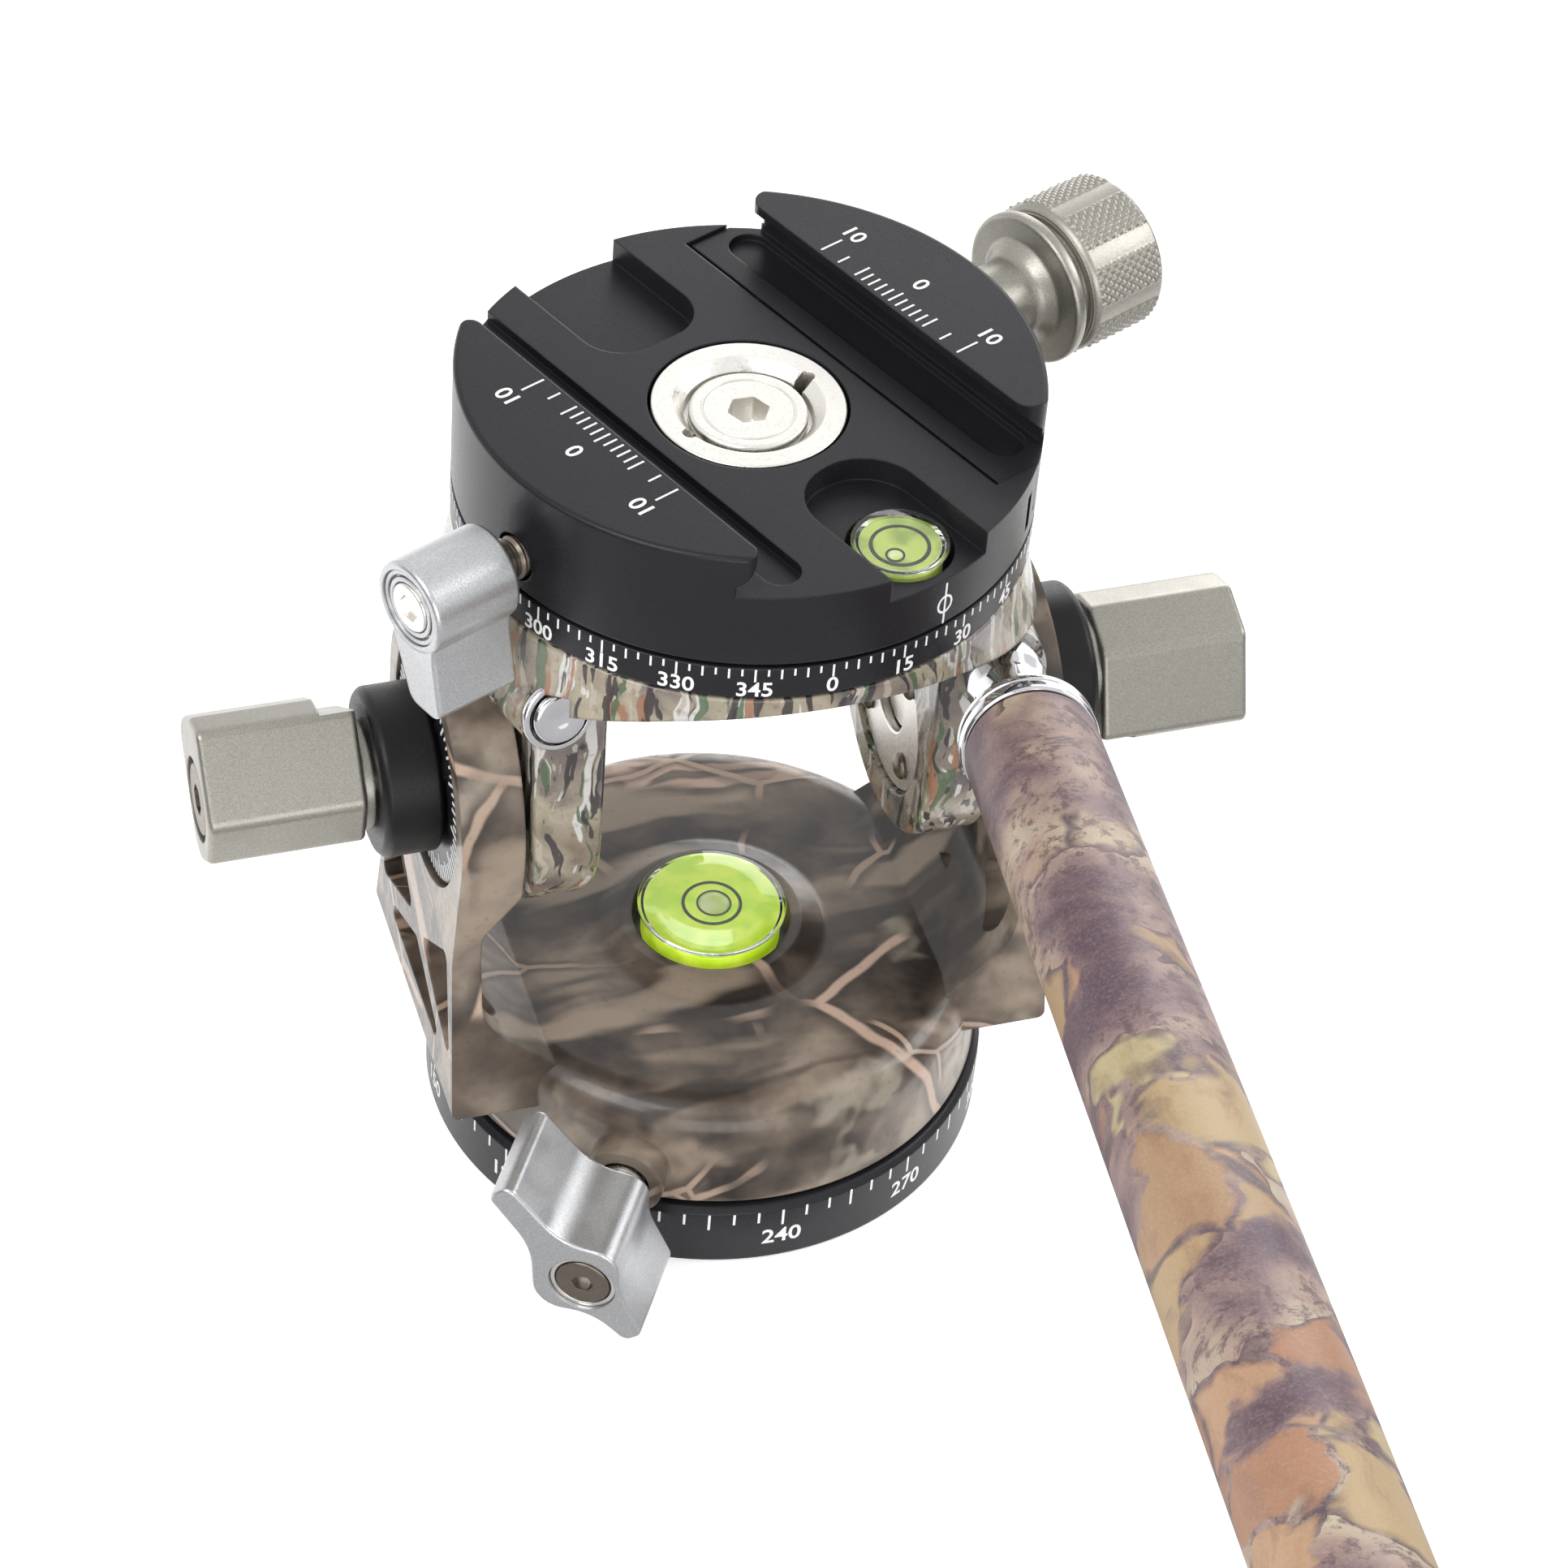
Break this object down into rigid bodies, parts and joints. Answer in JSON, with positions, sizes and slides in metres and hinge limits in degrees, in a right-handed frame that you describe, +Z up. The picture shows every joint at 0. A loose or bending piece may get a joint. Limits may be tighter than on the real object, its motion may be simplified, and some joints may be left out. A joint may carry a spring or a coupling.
{
  "type": "monopod tilt head",
  "caption": "Two-way monopod tilt head: panning base, yoke with truss arms, tilting cradle with a handle, and a panning dovetail clamp with levels, scales and lock knobs.",
  "frame": {"origin": "centre of the underside of the base, on the pan axis, where the stud of a monopod enters", "axes": "+Z up along the pan axis, +X along the tilt axis towards the handle side, -Y towards the user (the handle points that way)"},
  "size_m": [0.1094, 0.2297, 0.1171],
  "materials": {
    "black_anodised": "satin black anodised",
    "black_plastic": "black moulded plastic",
    "camo_film": "printed woodland camouflage under a gloss lacquer",
    "handle_film": "printed woodland camouflage, satin",
    "warm_grey_metal": "bead blasted, warm grey anodised",
    "silver_metal": "bead blasted, silver anodised",
    "chrome": "polished plate",
    "brass": "turned",
    "washer_plastic": "plain",
    "level_vial": "clear vial with green fluid",
    "stainless_steel": "turned stainless"
  },
  "bodies": {
    "base": {"base_plate": "black_anodised", "monopod_bush": "brass", "pan_thrust_washer": "washer_plastic"},
    "yoke": {"yoke": "camo_film", "pan_axle_screw": "stainless_steel", "pan_axle_washer": "stainless_steel", "yoke_level": "level_vial", "base_lock_pad": "brass", "angle_ring_left": "black_anodised", "angle_ring_right": "black_anodised", "tilt_collar_left": "black_plastic", "tilt_collar_right": "black_plastic", "pivot_bush_left": "brass", "pivot_bush_right": "brass"},
    "base_lock": {"base_lock_knob": "silver_metal", "base_lock_stud": "stainless_steel", "base_lock_screw": "stainless_steel"},
    "tilt_lock_left": {"tilt_knob_left": "warm_grey_metal", "tilt_stud_left": "stainless_steel", "tilt_screw_left": "stainless_steel"},
    "tilt_lock_right": {"tilt_knob_right": "warm_grey_metal", "tilt_stud_right": "stainless_steel", "tilt_screw_right": "stainless_steel"},
    "cradle": {"cradle": "camo_film", "cradle_scale_ring": "black_anodised", "friction_disc_left": "washer_plastic", "friction_disc_right": "washer_plastic", "clamp_plate_left": "stainless_steel", "clamp_plate_right": "stainless_steel", "plate_screw_left_1": "stainless_steel", "plate_screw_left_2": "stainless_steel", "plate_screw_left_3": "stainless_steel", "plate_screw_left_4": "stainless_steel", "plate_screw_right_1": "stainless_steel", "plate_screw_right_2": "stainless_steel", "plate_screw_right_3": "stainless_steel", "plate_screw_right_4": "stainless_steel", "clamp_thrust_washer": "washer_plastic", "clamp_axle_screw": "stainless_steel", "handle_neck": "chrome", "handle_ferrule": "chrome", "handle_tube": "handle_film", "handle_end_cap": "black_plastic", "handle_socket_plug": "chrome"},
    "clamp": {"clamp_body": "black_anodised", "clamp_centre_ring": "stainless_steel", "clamp_level": "level_vial", "guide_pin_front": "stainless_steel", "guide_pin_back": "stainless_steel", "clamp_lock_pad": "brass"},
    "clamp_lock": {"clamp_lock_lever": "silver_metal", "clamp_lock_stud": "stainless_steel", "clamp_lock_screw": "stainless_steel"},
    "jaw": {"moving_jaw": "black_anodised"},
    "jaw_turner": {"jaw_knob": "warm_grey_metal", "jaw_screw": "stainless_steel", "jaw_washer": "stainless_steel"}
  },
  "joints": [
    {"name": "base_pan", "type": "hinge", "parent": "base", "child": "yoke", "pos_m": [0, 0, 0.008], "axis": [0, 0, 1], "continuous": true},
    {"name": "base_lock_turn", "type": "hinge", "parent": "yoke", "child": "base_lock", "pos_m": [-0.01855, -0.02968, 0.0127], "axis": [-0.5299, -0.848, 0], "range_deg": [0, 270]},
    {"name": "tilt", "type": "hinge", "parent": "yoke", "child": "cradle", "pos_m": [0, 0, 0.0503], "axis": [1, 0, 0], "range_deg": [-90, 65]},
    {"name": "tilt_lock_left_turn", "type": "hinge", "parent": "cradle", "child": "tilt_lock_left", "pos_m": [-0.0387, 0, 0.0503], "axis": [-1, 0, 0], "range_deg": [0, 270]},
    {"name": "tilt_lock_right_turn", "type": "hinge", "parent": "cradle", "child": "tilt_lock_right", "pos_m": [0.0387, 0, 0.0503], "axis": [1, 0, 0], "range_deg": [0, 270]},
    {"name": "clamp_pan", "type": "hinge", "parent": "cradle", "child": "clamp", "pos_m": [0, 0, 0.0828], "axis": [0, 0, 1], "range_deg": [-235, 70]},
    {"name": "clamp_lock_turn", "type": "hinge", "parent": "clamp", "child": "clamp_lock", "pos_m": [-0.02868, -0.01253, 0.0862], "axis": [-0.9164, -0.4003, 0], "range_deg": [0, 270]},
    {"name": "jaw_slide", "type": "slide", "parent": "clamp", "child": "jaw", "axis": [0.9164, 0.4003, 0], "range_m": [-0.0006, 0.0015]},
    {"name": "jaw_knob_turn", "type": "hinge", "parent": "jaw", "child": "jaw_turner", "pos_m": [0.03299, 0.01441, 0.0886], "axis": [0.9164, 0.4003, 0], "range_deg": [-216, 540]}
  ],
  "couplings": [
    {"joint": "jaw_knob_turn", "follows": "jaw_slide", "rad_per_m": 6283.2}
  ]
}
